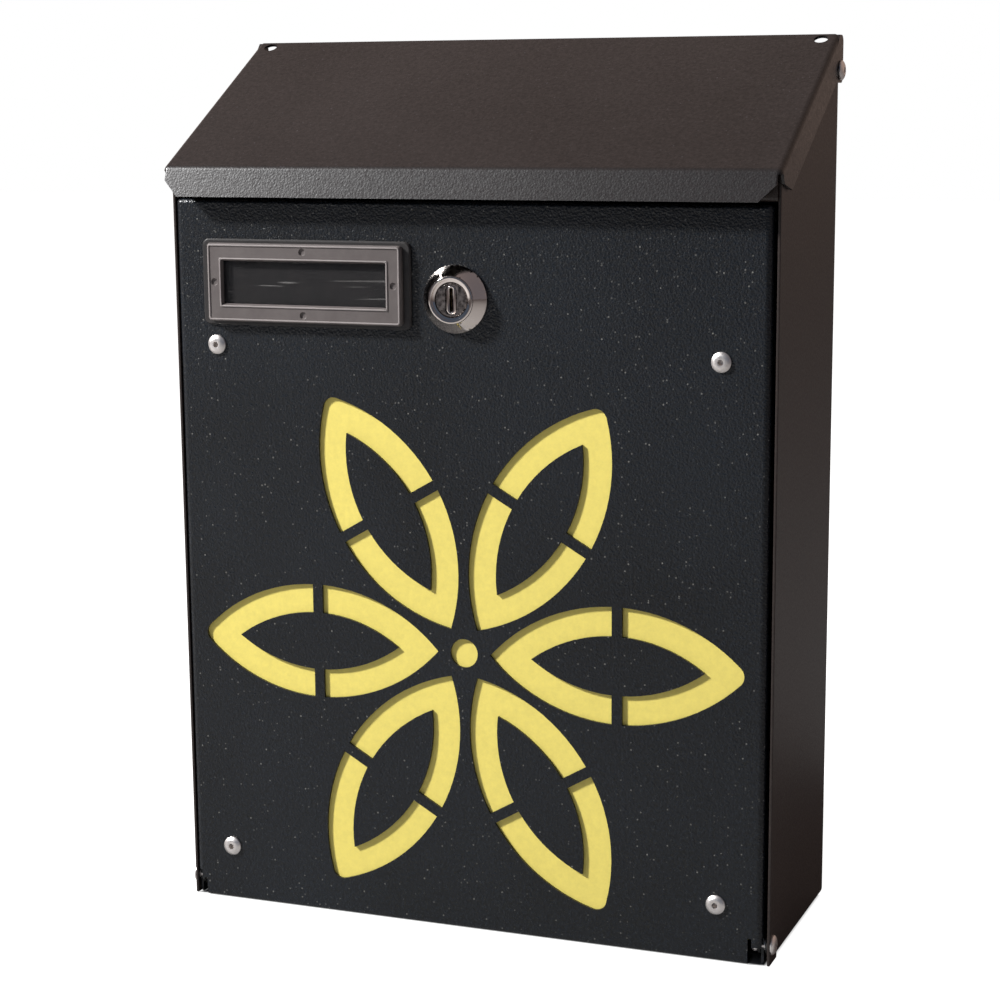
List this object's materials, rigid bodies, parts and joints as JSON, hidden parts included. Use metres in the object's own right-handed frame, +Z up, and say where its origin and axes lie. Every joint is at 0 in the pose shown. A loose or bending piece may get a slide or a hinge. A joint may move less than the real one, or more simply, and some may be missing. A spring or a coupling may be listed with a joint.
{
  "type": "wall mailbox",
  "caption": "Wall mailbox in folded black steel: sloped lifting lid, drop-down door with a cut-out flower over a yellow panel, name holder and cam lock.",
  "frame": {"origin": "middle of the four wall-screw holes, on the wall's surface", "axes": "+Z up, +Y into the wall (the door faces -Y), +X to the right of a person facing the door"},
  "size_m": [0.226, 0.0937, 0.3113],
  "materials": {
    "case_coat": "fine textured black powder coat",
    "lid_coat": "fine textured black powder coat",
    "door_coat": "coarse textured black powder coat",
    "yellow_coat": "satin yellow powder coat",
    "rivet_metal": "bright plain aluminium",
    "lock_chrome": "polished chrome plate",
    "plug_metal": "chrome plate, a little worn",
    "zinc_steel": "zinc-plated steel",
    "spring_steel": "plain spring steel",
    "wafer_brass": "stamped brass",
    "holder_plastic": "fine-grained dark grey plastic",
    "clear_window": "clear plastic sheet, lightly scratched",
    "washer_nylon": "black nylon",
    "spacer_rubber": "matte black rubber"
  },
  "bodies": {
    "case": {"case_wrap": "case_coat", "back_panel": "case_coat", "header_rail": "case_coat", "wall_spacers": "spacer_rubber", "lid_hinge_rivets": "rivet_metal", "lid_hinge_washers": "zinc_steel", "door_hinge_rivets": "rivet_metal", "door_hinge_washers": "washer_nylon", "door_spacer_washer": "washer_nylon"},
    "lid": {"lid_panel": "lid_coat"},
    "door": {"door_panel": "door_coat", "colour_panel": "yellow_coat", "colour_panel_rivets": "rivet_metal", "name_base": "holder_plastic", "name_frame": "holder_plastic", "name_window": "clear_window", "name_clips": "spring_steel", "lock_housing": "lock_chrome", "lock_washer": "zinc_steel", "lock_nut": "zinc_steel"},
    "lock": {"lock_plug": "plug_metal", "lock_wafers": "wafer_brass", "wafer_springs": "spring_steel", "stop_washer": "zinc_steel", "lock_cam": "zinc_steel", "cam_screw": "zinc_steel"}
  },
  "joints": [
    {"name": "lid_hinge", "type": "hinge", "parent": "case", "child": "lid", "pos_m": [0, -0.013, 0.14404], "axis": [-1, 0, 0], "range_deg": [0, 115]},
    {"name": "door_hinge", "type": "hinge", "parent": "case", "child": "door", "pos_m": [0, -0.0826, -0.1484], "axis": [1, 0, 0], "range_deg": [0, 180]},
    {"name": "lock_turn", "type": "hinge", "parent": "door", "child": "lock", "pos_m": [-0.0021, -0.07, 0.0686], "axis": [0, -1, 0], "range_deg": [0, 90]}
  ]
}
